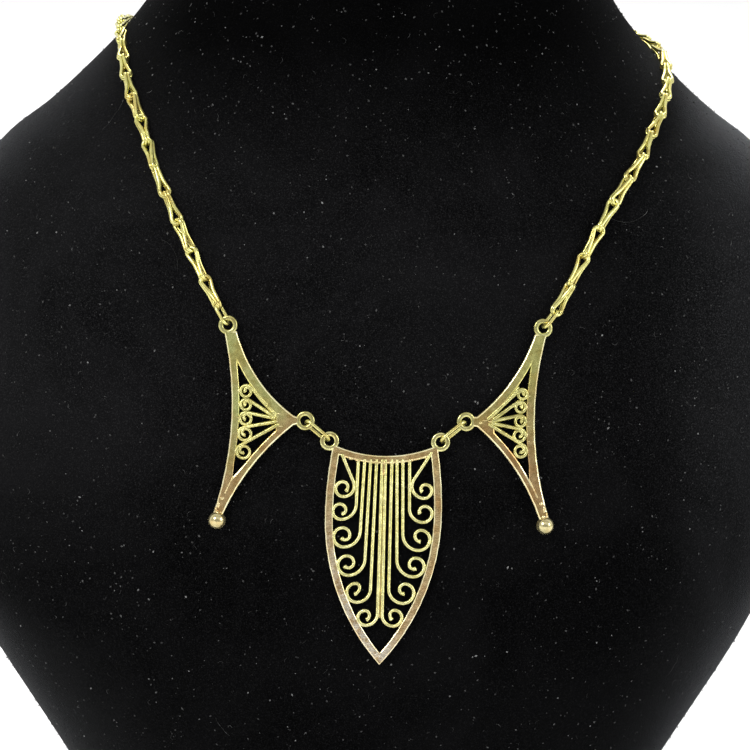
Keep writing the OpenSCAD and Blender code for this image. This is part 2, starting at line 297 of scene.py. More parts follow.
def cutPlate(shell, loops, bevel, edge, holeEdge, wobble):
    # sawn and filed sheet: a flat outline with an opening, filled, thickened and bevelled;
    # its flats take the first material, its edges the ones that are given
    outline, opening = (np.array(loop) for loop in loops)
    curve = bpy.data.curves.new("plateDrawing", "CURVE")
    curve.dimensions = "2D"
    curve.fill_mode = "BOTH"
    curve.extrude = panelWork["sheet"] / 2 - bevel
    curve.bevel_depth = bevel
    curve.bevel_resolution = 2
    curve.offset = -bevel
    for loop in loops:
        line = curve.splines.new("POLY")
        line.points.add(len(loop) - 1)
        for i, (x, y) in enumerate(loop):
            wx = wobble * sin(1.7 * y + 0.9 * x) + 0.6 * wobble * sin(4.3 * y - 2 * x)
            line.points[i].co = (x + wx, y, 0, 1)
        line.use_cyclic_u = True
    holder = newObject("plateDrawing", curve)
    graph = bpy.context.evaluated_depsgraph_get()
    mesh = bpy.data.meshes.new_from_object(holder.evaluated_get(graph))
    for polygon in mesh.polygons:
        flat = abs(polygon.normal.z) > 0.999
        shell.smooth.append(not flat)
        spot = np.array(polygon.center[:2])
        inside = np.hypot(*(opening - spot).T).min() < np.hypot(*(outline - spot).T).min()
        shell.shades.append(0 if flat else holeEdge if inside else edge)
        shell.faces.append(tuple(len(shell.points) + i for i in polygon.vertices))
    shell.points.extend([tuple(v.co) for v in mesh.vertices])
    bpy.data.objects.remove(holder)
    bpy.data.curves.remove(curve)
    bpy.data.meshes.remove(mesh)


def washer(shell, centre, shade):
    # a flat ring, its edges in the wire's gold
    outer, hole, sheet, b, sides = panelWork["ring"].values()
    half, c = sheet / 2, 0.3 * b
    profile = [
        (hole + b, half), (outer - b, half), (outer - c, half - c), (outer, half - b), (outer, b - half),
        (outer - b, -half), (hole + b, -half), (hole, b - half), (hole, half - b), (hole + c, half - c)]
    points, faces = lathe(profile, sides, True)
    start = len(shell.faces)
    shell.add([(x + centre[0], y + centre[1], h) for x, y, h in points], faces, True, 1)
    front, back = 0, 5      # places in the profile
    for band in (front, back):
        for i in range(sides):
            shell.shades[start + sides * band + i] = shade


def layWire(shell, path, lift, radius, ripple=panelWork["ripple"], **form):
    # rippled wire that lies flat on a panel
    points, faces = sweep([(x, y, lift) for x, y in path], radius, ripple=ripple, pitch=panelWork["twist"],
                          up=(0, 0, 1), **form)
    shell.add(points, faces, True, 1)


def solderLump(shell, centre, size, seed, shade=2):
    # a small rough mound of solder
    rnd = random.Random(seed)
    rings, sides = 9, 14
    waves = [[rnd.uniform(*span) for span in ((1, 4), (1, 4), (0, 6.3), (0.04, 0.11))] for _ in range(5)]
    points = []
    for i in range(rings):
        lat = pi * (i / (rings - 1) - 0.5)
        for k in range(sides):
            lon = 2 * pi * k / sides
            r = 1 + sum(amp * sin(a * lat * 2 + b * cos(lon + c) + c) for a, b, c, amp in waves)
            way = (cos(lat) * cos(lon), cos(lat) * sin(lon), sin(lat))
            points.append([q + s * r * v for q, s, v in zip(centre, size, way)])
    shell.add(points, bandFaces(rings, sides), True, shade)


def solderLumps(shell, at, table, lift, thick, seed, shade=2):
    # mounds given as (x, y, half width, half length) from a point
    for number, (x, y, wide, tall) in enumerate(table):
        solderLump(shell, (at[0] + x, at[1] + y, lift), (wide, tall, thick), seed + number, shade)


def solderSeam(shell, line, radius, seed):
    # solder that has run along a joint, thick and thin by turns
    rnd = random.Random(seed)
    waves = [[rnd.uniform(*span) for span in ((1.5, 9), (0, 6.3), (0.06, 0.16))] for _ in range(6)]
    sides = 8
    points, faces = sweep(line, radius, sides)
    for i, middle in enumerate(np.array(line)):
        size = 1 + sum(amp * sin(rate * 0.35 * i + start) for rate, start, amp in waves)
        for k in range(sides * i, sides * (i + 1)):
            points[k] = middle + size * (points[k] - middle)
    shell.add(points, faces, True, 2)


# Materials

def newMaterial(name):
    mat = bpy.data.materials.new(name)
    mat.use_nodes = True
    tree = mat.node_tree
    surface = next(n for n in tree.nodes if n.type == "BSDF_PRINCIPLED")
    return mat, tree, surface


def join(tree, value, socket):
    # a link where the value comes from another node, else a plain value
    if hasattr(value, "is_linked"):
        tree.links.new(value, socket)
    elif value is not None:
        socket.default_value = value


def setSockets(tree, node, **sockets):
    for name, value in sockets.items():
        join(tree, value, node.inputs[name.replace("_", " ")])
    return node


def addNode(tree, kind, **sockets):
    return setSockets(tree, tree.nodes.new(kind), **sockets)


def grey(v):
    return (v, v, v, 1)


def ramp(tree, source, stops):
    # stops of (place, colour); a plain number is a grey
    made = addNode(tree, "ShaderNodeValToRGB", Fac=source)
    elements = made.color_ramp.elements
    while len(elements) < len(stops):
        elements.new(0.5)
    for e, (where, colour) in zip(elements, stops):
        e.position = where
        e.color = (*colour, 1) if isinstance(colour, tuple) else grey(colour)
    return made.outputs["Color"]


def mixColour(tree, factor, a, b, blend="MIX"):
    made = tree.nodes.new("ShaderNodeMix")
    made.data_type = "RGBA"
    made.blend_type = blend
    for value, socket in ((factor, made.inputs[0]), (a, made.inputs[6]), (b, made.inputs[7])):
        join(tree, value, socket)
    return made.outputs[2]


def mapped(tree, source, a, b):
    return addNode(tree, "ShaderNodeMapRange", Value=source, From_Min=a, From_Max=b).outputs["Result"]


def arithmetic(tree, kind, a, b=0.0, clamp=False):
    made = tree.nodes.new("ShaderNodeMath")
    made.operation = kind
    made.use_clamp = clamp
    join(tree, a, made.inputs[0])
    join(tree, b, made.inputs[1])
    return made.outputs[0]


def noise(tree, source, **sockets):
    return addNode(tree, "ShaderNodeTexNoise", Vector=source, **sockets).outputs["Fac"]


def bump(tree, height, strength, distance, under=None):
    made = addNode(tree, "ShaderNodeBump", Height=height, Strength=strength, Distance=distance, Normal=under)
    return made.outputs["Normal"]


def objectPlace(tree):
    # the object's own coordinates, and their x and z
    where = addNode(tree, "ShaderNodeTexCoord").outputs["Object"]
    split = addNode(tree, "ShaderNodeSeparateXYZ", Vector=where)
    return where, split.outputs["X"], split.outputs["Z"]


# what holds for every gold where its own look doesn't say otherwise; heights in metres
plainGold = {
    "from": 0.060, "to": 0.120, "lean": 0.0, "metal": 0.96, "rough": (0.16, 0.30), "scratch": 0.10,
    "dents": 0.20, "dentScale": 1500, "mottle": 0.50, "dull": (0.85, 0.74, 0.62), "paintedGlint": False,
}
goldLook = {
    "sidePlate": {
        "top": (0.86, 0.88, 0.34), "bottom": (0.82, 0.58, 0.27), "from": 0.1165, "to": 0.1265, "lean": 0.7,
        "scratch": 0.35, "dentScale": 420,
    },
    "rightPlate": {
        "top": (0.81, 0.78, 0.28), "bottom": (0.72, 0.49, 0.23), "from": 0.101, "to": 0.117,
        "scratch": 0.35, "dentScale": 420,
    },
    "centrePlate": {
        "top": (0.86, 0.64, 0.30), "bottom": (0.89, 0.65, 0.36), "to": 0.100,
        "rough": (0.14, 0.30), "scratch": 0.50, "dents": 0.34, "dentScale": 420, "paintedGlint": True,
    },
    "ring": {
        "top": (0.78, 0.76, 0.33), "bottom": (0.78, 0.72, 0.34), "from": 0.092, "to": 0.116, "metal": 0.94,
        "scratch": 0.2, "dents": 0.15, "dentScale": 600, "mottle": 0.6,
    },
    # a paler gold for the plates' edges: partly real filed polish, partly a painted highlight
    "edgePolishAndHighlight": {
        "top": (0.97, 0.92, 0.54), "bottom": (0.97, 0.88, 0.62), "to": 0.116, "metal": 0.74,
        "rough": (0.12, 0.24), "scratch": 0.05, "dents": 0.05, "mottle": 0.85,
    },
    "wire": {
        "top": (0.80, 0.775, 0.34), "bottom": (0.81, 0.765, 0.38), "metal": 0.88,
        "rough": (0.14, 0.26), "dents": 0.10, "mottle": 0.62, "dull": (0.93, 0.90, 0.80),
    },
    # a darker copy of the wire's gold: painted shade on the side panels' coils, stems and ring edges
    "shadedFanWire": {
        "top": (0.68, 0.655, 0.26), "bottom": (0.68, 0.63, 0.27), "from": 0.09, "metal": 0.92,
        "dents": 0.14, "mottle": 0.52, "dull": (0.90, 0.85, 0.74),
    },
    "link": {
        "top": (0.77, 0.735, 0.255), "bottom": (0.78, 0.735, 0.285), "from": 0.1, "to": 0.19, "metal": 0.84,
        "rough": (0.12, 0.22), "scratch": 0.06, "dents": 0.06, "dentScale": 1100, "mottle": 0.74,
    },
    "ball": {
        "top": (0.69, 0.61, 0.33), "bottom": (0.69, 0.61, 0.33), "metal": 0.84,
        "rough": (0.05, 0.09), "scratch": 0.01, "dents": 0.12, "dentScale": 800, "mottle": 0.72,
    },
    "solder": {
        "top": (0.80, 0.72, 0.36), "bottom": (0.82, 0.66, 0.38), "metal": 0.9,
        "rough": (0.20, 0.40), "scratch": 0.0, "dents": 0.5, "dentScale": 2100, "mottle": 0.6,
    },
}
# where the centre plate's painted highlight lies, and its colour
paintedGlintPlace = {"height": (0.092, 0.070), "side": (0.0035, 0.0005), "colour": (0.86, 0.78, 0.62, 1)}


def goldMaterial(name):
    look = {**plainGold, **goldLook[name]}
    mat, tree, surface = newMaterial(name + "Gold")
    where, x, z = objectPlace(tree)
    # the left panel's colour changes along a slant
    slant = arithmetic(tree, "MULTIPLY", arithmetic(tree, "ABSOLUTE", x), look["lean"])
    height = mapped(tree, arithmetic(tree, "ADD", z, slant), look["from"], look["to"])
    cloud = noise(tree, where, Scale=140.0, Detail=4.0, Roughness=0.6)
    drift = arithmetic(tree, "MULTIPLY", arithmetic(tree, "SUBTRACT", cloud, 0.5), 1.8)
    total = arithmetic(tree, "ADD", height, drift, True)
    colour = mixColour(tree, total, (*look["bottom"], 1), (*look["top"], 1))
    # tarnish in small patches
    specks = noise(tree, where, Scale=900.0, Detail=6.0, Roughness=0.72)
    m = look["mottle"]
    tint = ramp(tree, specks, [(0.36, (m, m, 0.86 * m)), (0.50, 0.5 + 0.5 * m), (0.60, 1.0)])
    colour = mixColour(tree, 1.0, colour, tint, "MULTIPLY")
    # broader patches, rubbed and dull by turns
    broad = noise(tree, where, Scale=330.0, Detail=3.0, Roughness=0.55)
    colour = mixColour(tree, 1.0, colour, ramp(tree, broad, [(0.36, look["dull"]), (0.55, 1.0)]), "MULTIPLY")
    if look["paintedGlint"]:
        # painted highlight: paler patches toward the lower left and the point, where a glint falls
        low = mapped(tree, z, *paintedGlintPlace["height"])
        left = mapped(tree, x, *paintedGlintPlace["side"])
        patchy = ramp(tree, specks, [(0.43, 0.08), (0.56, 1.0)])
        paintedLight = arithmetic(tree, "MULTIPLY", arithmetic(tree, "MULTIPLY", low, left), patchy)
        colour = mixColour(tree, paintedLight, colour, paintedGlintPlace["colour"])
    smooth, dull = look["rough"]
    # fine scratches, long one way, and soft dents
    stretch = addNode(tree, "ShaderNodeMapping", Vector=where, Scale=(900.0, 900.0, 5200.0),
                      Rotation=(0.3, 0.5, 0.2))
    scratch = noise(tree, stretch.outputs["Vector"], Scale=1.0, Detail=5.0, Roughness=0.65)
    dents = noise(tree, where, Scale=look["dentScale"], Detail=2.0)
    fine = bump(tree, scratch, look["scratch"], 0.00006)
    setSockets(tree, surface, Base_Color=colour, Metallic=look["metal"],
               Roughness=ramp(tree, specks, [(0.3, dull), (0.7, smooth)]),
               Normal=bump(tree, dents, look["dents"], 0.0003, fine))
    return mat


velvetLook = {
    "deep": (0.0008, 0.0008, 0.0010),
    "raised": (0.0065, 0.0065, 0.0070),
    "brushed": (0.0113, 0.0113, 0.0123),
    "dust": (0.032, 0.032, 0.0335),
    # painted light and shade over the cloth, by height and by side
    "paintedShadeByHeight": [(0.0, 0.52), (0.38, 0.54), (0.55, 1.0), (0.75, 1.0), (0.90, 0.21)],
    "paintedLightByWidth": [(0.0, 0.70), (0.17, 0.62), (0.38, 0.54), (0.5, 0.52), (0.77, 0.43), (0.82, 0.56),
                (0.89, 1.0)],
    "sheen": 0.24,
    "sheenSpread": 0.34,
    "sheenTint": (0.92, 0.95, 1.0, 1),
    "pileScale": 2600.0,
    "dustScale": 3600.0,
}


def velvetMaterial(look):
    mat, tree, surface = newMaterial("blackVelvet")
    where, x, z = objectPlace(tree)
    pile = noise(tree, where, Scale=look["pileScale"], Detail=3.0, Roughness=0.7)
    brushed = noise(tree, where, Scale=26.0, Detail=4.0, Roughness=0.6, Distortion=0.6)
    tufts = ramp(tree, pile, [(0.35, look["deep"]), (0.68, look["raised"])])
    patches = ramp(tree, brushed, [(0.42, 0.0), (0.78, 1.0)])
    colour = mixColour(tree, patches, tufts, (*look["brushed"], 1))
    # fine dust caught in the pile
    dust = noise(tree, where, Scale=look["dustScale"], Detail=2.0, Roughness=0.8)
    colour = mixColour(tree, ramp(tree, dust, [(0.53, 0.0), (0.73, 1.0)]), colour, (*look["dust"], 1))
    # painted light and shade: the cloth's colour and its sheen are scaled by height and by side, paler toward
    # both sides and most at the right edge, darker on the neck and low down
    paintedShadeByHeight = ramp(tree, mapped(tree, z, 0.0, 0.2), look["paintedShadeByHeight"])
    paintedLightByWidth = ramp(tree, mapped(tree, x, -0.09, 0.09), look["paintedLightByWidth"])
    paintedLight = arithmetic(tree, "MULTIPLY", paintedShadeByHeight, paintedLightByWidth)
    setSockets(tree, surface, Base_Color=mixColour(tree, 1.0, colour, paintedLight, "MULTIPLY"),
               Roughness=1.0, Specular_IOR_Level=0.015,
               Sheen_Weight=arithmetic(tree, "MULTIPLY", paintedLight, look["sheen"]),
               Sheen_Roughness=look["sheenSpread"], Sheen_Tint=look["sheenTint"],
               Normal=bump(tree, pile, 0.55, 0.0003))
    return mat


def mottledMaterial(name, scale, detail, stops):
    # a dull surface in a few greys
    mat, tree, surface = newMaterial(name)
    where = addNode(tree, "ShaderNodeTexCoord").outputs["Object"]
    tone = ramp(tree, noise(tree, where, Scale=scale, Detail=detail), stops)
    setSockets(tree, surface, Base_Color=tone, Roughness=0.9)
    return mat


lintGreys = [(0.40, 0.010), (0.52, 0.022), (0.60, 0.045), (0.71, 0.15)]
materials = {name: goldMaterial(name) for name in goldLook}
materials["velvet"] = velvetMaterial(velvetLook)
materials["lint"] = mottledMaterial("paleLint", 420.0, 1.0, lintGreys)
print("materials made")


# Bust: black velvet over a smooth form

bust = {
    "height": 212.0,
    "inset": 0.12,          # mm, so that the pile lies under the panels
    "around": 320,
    "sections": [           # height, half width, half depth, y of the middle, x of the middle
        (0, 46, 43, -1, 0), (1.2, 47.8, 44.5, -1.2, 0), (30, 65.8, 48, -4, -0.5),
        (60, 82.9, 49.8, -7.7, -1.1), (80, 90, 51, -4, -0.8), (100, 92.7, 50.5, -0.5, 0),
        (120, 92.5, 49.5, 2.5, 0.8), (135, 90.1, 48, 4.5, 1.4), (147, 85, 46.5, 6.5, 1.6),
        (155, 78.2, 45.5, 9, 1.6), (161, 70.2, 44.5, 10.5, 1.5), (168, 62.4, 43.8, 12.3, 1.4),
        (176, 54.6, 43, 14, 1.4), (185, 48.1, 42, 15, 1.4), (196, 44.9, 42, 16, 1.6),
        (210.4, 44.5, 42, 16.5, 1.7), (212, 42.9, 40.4, 16.5, 1.7)],
    "lint": 9500,
    "fibres": 900,
    "longFibres": 18,
}


def smoothColumn(rows, x, column):
    # the same smooth curve through a table's rows as the solids use
    way = 1 if rows[1][0] > rows[0][0] else -1
    i = max([0] + [k for k in range(len(rows) - 1) if (x - rows[k][0]) * way >= 0])
    gap = rows[i + 1][0] - rows[i][0]
    t = (x - rows[i][0]) / gap

    def slope(k):
        a, b = rows[max(k - 1, 0)], rows[min(k + 1, len(rows) - 1)]
        return (b[column] - a[column]) / (b[0] - a[0])
    return ((2 * t ** 3 - 3 * t ** 2 + 1) * rows[i][column] + (t ** 3 - 2 * t ** 2 + t) * gap * slope(i)
            + (3 * t ** 2 - 2 * t ** 3) * rows[i + 1][column] + (t ** 3 - t ** 2) * gap * slope(i + 1))


def section(z):
    # half width, half depth, y and x of the middle at a height
    return [smoothColumn(bust["sections"], z, column) for column in (1, 2, 3, 4)]


def skin(angle, z):
    # a point on the form; angle in degrees, 0 at the chest
    w, d, y, x = section(z)
    a = radians(angle)
    return np.array((x + w * sin(a), y - d * cos(a), z))


def outward(angle, z):
    e = 0.2                 # a small step, in degrees and in mm
    return unit(np.cross(skin(angle + e, z) - skin(angle - e, z), skin(angle, z + e) - skin(angle, z - e)))


def makeBust():
    shell = Shell()
    heights = ([0, 0.3, 0.7, 1.2] + [round(h, 2) for h in np.arange(2.2, 210, 1.1)]
               + [210.4, 210.9, 211.4, 211.8, 212])
    sides = bust["around"]
    angles = [2 * pi * k / sides for k in range(sides)]
    points = []
    for z in heights:
        w, d, y, x = section(z)
        for a in angles:
            # shallow unevenness of cloth pulled over the form
            ease = 0.05 * sin(5 * a + z / 17) * sin(z / 23 + 1.3) + 0.03 * sin(11 * a - z / 9)
            grow = ease - bust["inset"]
            points.append((x + (w + grow) * sin(a), y - (d + grow) * cos(a), z))
    shell.add(points, bandFaces(len(heights), sides))
    top = (len(heights) - 1) * sides
    for start, z, flip in ((0, 0.0, True), (top, bust["height"], False)):
        # the two ends are filled by shrinking rings
        ringStart = start
        w, d, y, x = section(z)
        for share in (0.98, 0.9, 0.72, 0.5, 0.25, 0.02):
            newStart = len(shell.points)
            shell.add([(x + w * share * sin(a), y - d * share * cos(a), z) for a in angles], [])
            for k in range(sides):
                n = (k + 1) % sides
                face = (ringStart + k, ringStart + n, newStart + n, newStart + k)
                shell.addFace(face, flip, share > 0.95)
            ringStart = newStart
        shell.addFace(range(ringStart, ringStart + sides), flip, False)
    finishPiece("velvetBust", shell, ["velvet"], "neck_bust")


def crumb(p, along, cross, n, long, wide, tall):
    # a speck of lint with eight small faces
    a, b, c = along * long, cross * wide, n * tall
    upper = [(0, 1, 4), (1, 2, 4), (2, 3, 4), (3, 0, 4)]
    return [p - a, p + b, p + a, p - b, p + c, p - c], upper + [(j, i, 5) for i, j, _ in upper]


def makeLint():
    rnd = random.Random(11)
    shell = Shell()
    for i in range(bust["lint"] + bust["fibres"]):
        angle, z = rnd.uniform(-180, 180), rnd.uniform(6, 206)
        p = skin(angle, z)
        n = outward(angle, z)
        along = unit(np.cross(n, [rnd.uniform(-1, 1) for _ in range(3)]))
        cross = np.cross(n, along)
        if i < bust["lint"]:
            size = rnd.choice((0.06, 0.08, 0.10, 0.13, 0.16, 0.21))
            points, faces = crumb(p + 0.04 * n, along, cross, n, size * rnd.uniform(1, 1.7), size, 0.7 * size)
        else:
            long = rnd.uniform(0.35, 1.3)
            bow = rnd.choice((-1, 1)) * rnd.uniform(0.2, 2.2)
            line = []
            for k in range(7):
                t = k / 6 - 0.5
                arch = 0.25 - t * t
                line.append(p + n * (0.05 + 0.1 * arch) + along * long * t + cross * bow * long * arch)
            points, faces = sweep(line, rnd.uniform(0.018, 0.042), 3)
        shell.add(points, faces, i >= bust["lint"])
    for i in range(bust["longFibres"]):
        # a fibre that wanders over the cloth
        angle, z, heading = rnd.uniform(-180, 180), rnd.uniform(30, 190), rnd.uniform(0, 6.3)
        curl = rnd.uniform(-0.16, 0.16)
        line = []
        for k in range(rnd.randrange(10, 26)):
            line.append(skin(angle, z) + (0.10 + 0.05 * sin(k)) * outward(angle, z))
            heading += curl + rnd.uniform(-0.12, 0.12)
            angle += 0.32 * cos(heading)
            z += 0.45 * sin(heading)
        points, faces = sweep(line, rnd.uniform(0.02, 0.03), 3)
        shell.add(points, faces, True)
    finishPiece("lintOnVelvet", shell, ["lint"], "neck_bust")


makeBust()
makeLint()
print("bust made")


# Centre panel: a pointed shield of filed sheet with twelve wire scrolls

centrePanel = {
    "origin": (0, -51.64, 102.92),
    "lean": 10.0,
    "skew": 0.0157,         # the point hangs a little to the left of the middle
    "bevel": 0.22,
    "wobble": 0.018,        # how uneven the sawn line is
    "rim": 1.6,
    "width": 23.4,
    "height": 44.7,
    "widestAt": -14.8,
    "upperSide": 80.0,      # radius
    "bow": 26.0,            # radius of the dished top
    "dip": 2.85,
    "bar": 1.45,
    "rings": {"left": (-11.17, 0.02), "right": (11.03, -0.02)},
    "wire": 0.365,
    "step": 0.075,          # between points of a wire's line
    "lobeShare": 0.54,
    "cornerBend": 2.4,
    "lobeSolder": (0.24, 0.42, 0.3),
    "barSolder": (0.42, 0.26, 0.34),
    "barLumps": 22,
    # stem head, stem side, foot, rim side, top, inner side, end; across from the middle line
    "left": [
        ((8.6, -2.6), 6.0, -11.06, 9.67, -8.08, 7.27, (7.6, -9.94)),
        ((5.31, -3.6), 5.49, -15.60, 10.12, -12.55, 7.55, (8.28, -14.45)),
        ((4.03, -3.6), 4.55, -21.13, 9.84, -17.29, 6.61, (8.24, -19.35)),
        ((2.85, -3.6), 3.45, -26.78, 8.83, -22.89, 5.67, (7.49, -24.95)),
        ((1.65, -3.6), 2.18, -32.17, 6.90, -28.41, 4.36, (5.34, -30.54)),
        ((0.53, -3.6), 0.65, -36.78, 4.55, -33.84, 2.25, (2.80, -35.63))],
    "right": [
        ((9.3, -2.1), 5.56, -11.27, 9.50, -8.53, 7.34, (7.6, -9.92)),
        ((4.95, -3.6), 5.18, -16.08, 9.69, -12.89, 7.17, (7.25, -14.32)),
        ((3.59, -3.6), 3.99, -21.70, 9.41, -17.68, 6.43, (7.48, -19.93)),
        ((2.41, -3.6), 2.94, -27.00, 8.42, -23.24, 5.42, (6.73, -25.35)),
        ((1.39, -3.6), 1.48, -32.34, 6.49, -28.45, 3.60, (4.57, -30.43)),
        ((0.12, -3.6), 0.30, -36.90, 4.22, -33.72, 1.84, (2.21, -35.60))],
}


def panelPlace(origin, yaw, lean):
    y, l = radians(yaw), radians(lean)
    n = np.array((sin(y) * cos(l), -cos(y) * cos(l), sin(l)))
    u = np.array((cos(y), sin(y), 0))
    return np.array(origin, float), u, np.cross(n, u), n


def centrePlace():
    origin, u, w, n = panelPlace(centrePanel["origin"], 0, centrePanel["lean"])
    return origin, u, w + centrePanel["skew"] * u, n


def shieldLoop(inset, topInset, count):
    c = centrePanel
    half = c["width"] / 2
    drop = c["height"] + c["widestAt"]
    lowerR = (half * half + drop * drop) / (2 * half)
    upper = (half - c["upperSide"], c["widestAt"], c["upperSide"] - inset)
    lower = (half - lowerR, c["widestAt"], lowerR - inset)
    bow = (0, c["bow"] - c["dip"], c["bow"] + topInset)
    corner = crossing(upper, bow, (10, -1))
    widest = (half - inset, c["widestAt"])
    tip = onCircleAtX(lower, 0, False)
    right = arcPoints(upper, corner, widest, count) + arcPoints(lower, widest, tip, 2 * count) + [tip]
    left = [(-x, y) for x, y in reversed(right[:-1])]
    across = arcPoints(bow, left[-1], right[0], count)[1:]
    return right + left + across


def barFoot(x):
    # height of the top bar's lower edge
    c = centrePanel
    return c["bow"] - c["dip"] - sqrt((c["bow"] + c["bar"]) ** 2 - x * x)


def scrollPath(row, bend, step):
    # down the stem, round by the foot, the rim side, the top and the inner side, and in to the end
    head, start, foot, rim, top, inner, end = row
    second = centrePanel["lobeShare"] * (top - foot)
    first, third = rim - start - second, top - foot - second
    fourth = rim - inner - third
    dx, dy = end[0] - inner, top - fourth - end[1]
    last = ((dx * dx + dy * dy) / (2 * dx), degrees(2 * atan2(dx, dy)))
    curl = [(first, 90), (second, 90), (third, 90), (fourth, 90), last]
    head, begin = np.array(head), np.array((start, foot + first))
    if not bend:
        return linePath(head, begin, step)[:-1] + turnPath(begin, -90, curl, step)
    gap = begin + (bend, 0) - head
    far = norm(gap)
    heading = degrees(atan2(gap[1], gap[0]) - asin(bend / far))
    way = np.array((cos(radians(heading)), sin(radians(heading))))
    ease = head + sqrt(far * far - bend * bend) * way
    return linePath(head, ease, step)[:-1] + turnPath(ease, heading, [(bend, -90 - heading)] + curl, step)


def makeCentrePanel():
    c = centrePanel
    shell = Shell()
    loops = [shieldLoop(0, 0, 26), shieldLoop(c["rim"], c["bar"], 22)]
    # all the shield's edges take the paler gold of filed polish and a painted highlight
    cutPlate(shell, loops, c["bevel"], 3, 3, c["wobble"])
    for ring in c["rings"].values():
        washer(shell, ring, 4)
    rnd = random.Random(5)
    for side, rows in ((-1, c["left"]), (1, c["right"])):
        for number, row in enumerate(rows):
            x, foot, rim, top = row[0][0], *row[2:5]
            path = scrollPath(row, 0 if number else c["cornerBend"], c["step"])
            wire = [(side * u, v) for u, v in path]
            layWire(shell, wire, 0.1, c["wire"], flat=0.95, endGrow=0.35)
            # solder on the rim side of the lobe, and under the bar
            seed = number + (side > 0) * 10
            seat = (side * (rim + 0.16), foot + c["lobeShare"] * (top - foot) + rnd.uniform(-0.2, 0.2), 0.02)
            solderLump(shell, seat, c["lobeSolder"], 90 + seed)
            if number:
                head = (side * x + rnd.uniform(-0.1, 0.1), barFoot(x) + 0.02, 0.14)
                solderLump(shell, head, c["barSolder"], 40 + seed)
    solderSeam(shell, [(x, barFoot(x) + 0.05, 0.2) for x in np.arange(-8.4, 8.9, 0.11)], 0.15, 61)
    for number in range(c["barLumps"]):
        x = rnd.uniform(-8.2, 8.6)
        y = barFoot(x) + rnd.uniform(-0.12, 0.16)
        solderLump(shell, (x, y, 0.22), (rnd.uniform(0.18, 0.42), rnd.uniform(0.1, 0.22), 0.2), 70 + number)
    # the two middle stems are soldered together at the top, and lightly all the way down
    solderLump(shell, (-0.2, -5.4, 0.22), (0.46, 1.9, 0.22), 87, 0)
    solderSeam(shell, [(0.02 * sin(y) - 0.19, y, -0.06) for y in np.arange(-35.2, -4.0, 0.12)], 0.15, 63)
    looks = ["centrePlate", "wire", "solder", "edgePolishAndHighlight", "ring"]
    finishPiece("centrePanelWork", shell, looks, "center_panel", centrePlace())


makeCentrePanel()
print("centre panel made")


# Side panels: three concave bars round an opening, five coils on straight stems, a ball at the foot

sidePanels = {
    "origin": (31.58, -44.57, 124.9),
    "yaw": 7.93,
    "lean": 11.65,
    "bevel": 0.29,
    "wobble": 0.015,        # how uneven the sawn line is
    "outerTop": (-0.64, -1.63),
    "topCut": -1.17,
    "lowerEnd": (13.9, -19.5),
    "neckEnd": 14.92,
    "outerFoot": (-0.7, 1.9),       # the edges' lower ends, from the middle of the ball
    "lowerFoot": (1.45, 2),
    "footCut": 0.7,
    "openingEnd": 10.35,
    "nearApex": (2.5, -9),          # rough places of the opening's two points
    "nearLow": (1.5, -31),
    "lowRise": 3.2,                 # from the lower point to where its two sides begin
    "ball": 1.76,
    "wire": 0.35,
    "stemGain": 0.08,
    "secondWire": 0.26,
    "step": 0.08,                   # between points of a wire's line
    "coilShares": (1, 0.97, 0.9, 0.8, 0.5, 0.4),
    "coilSolder": (0.34, 0.5, 0.34),
    # solder as (x, y, half width, half length); these two from the middle of the ball
    "ballSolder": [(-0.15, 1.72, 0.46, 0.34), (0.75, 1.6, 0.34, 0.24), (0.3, 1.5, 0.6, 0.3)],
    "drips": [(0.15, 3.1, 0.3, 0.8), (0.85, 4.4, 0.42, 0.36), (-0.35, 2.2, 0.22, 0.5)],
    "left": {
        "plate": "sidePlate", "seed": 4,
        "foot": (-0.7, -39.1), "blob": (0.14, 1.5), "web": (0.45, 1.45), "rims": (1.6, 2.0, 1.55),
        "upperEdge": [(1.88, -1.34), (6.02, -9.85), (13.9, -17.6)], "neck": (-17.9, -19.15),
        "outerMid": (1.36, -19.5), "lowerMid": (7.1, -26.48), "ring": (16.2, -18.5),
        "coils": [          # middle, radius, end of the stem
            ((4.2, -13.08), 1.16, (10.25, -17.55)), ((4.25, -15.76), 1.08, (10.1, -17.95)),
            ((4.32, -18.51), 1.22, (10.1, -18.25)), ((4.27, -21.57), 1.32, (10.35, -18.9)),
            ((4.08, -25.1), 1.36, (10.9, -19.4))],
        "dabs": [
            (11.0, -17.3, 0.5, 0.15), (11.35, -19.8, 0.62, 0.17), (10.5, -18.9, 0.3, 0.16),
            (2.5, -12.9, 0.24, 0.14), (2.76, -18.3, 0.26, 0.13), (2.68, -21.5, 0.26, 0.13)],
    },
    "right": {
        "plate": "rightPlate", "seed": 5,
        "foot": (0.3, -39.6), "blob": (0.42, 1.7), "web": (0.3, 0.2), "rims": (1.82, 1.78, 1.55),
        "upperEdge": [(1.76, -1.34), (6.22, -9.7), (13.9, -17.48)], "neck": (-17.45, -19.35),
        "outerMid": (2.05, -20), "lowerMid": (7.5, -26.5), "ring": (16.1, -18.4),
        "coils": [
            ((4.55, -13.17), 1.0, (11.75, -18.0)), ((5.02, -15.72), 1.1, (10.5, -18.05)),
            ((5.09, -18.52), 1.12, (10.8, -18.4)), ((5.31, -21.36), 1.24, (10.95, -18.8)),
            ((5.13, -24.47), 1.26, (11.5, -19.0))],
        "dabs": [
            (13.2, -18.7, 0.42, 0.3), (12.2, -18.25, 0.6, 0.14), (11.2, -18.5, 0.5, 0.4),
            (3.1, -13.6, 0.26, 0.14), (3.45, -19.6, 0.26, 0.13), (3.4, -22.6, 0.24, 0.13),
            (2.43, -22.75, 0.18, 0.18)],
    },
}


def sidePlace(side):
    # the right panel stands as the left one does in a mirror
    s = sidePanels
    x, y, z = s["origin"]
    place = panelPlace((-x, y, z), -s["yaw"], s["lean"])
    way = 1 if side == "left" else -1
    return [np.array((way * v[0], v[1], v[2])) for v in place]


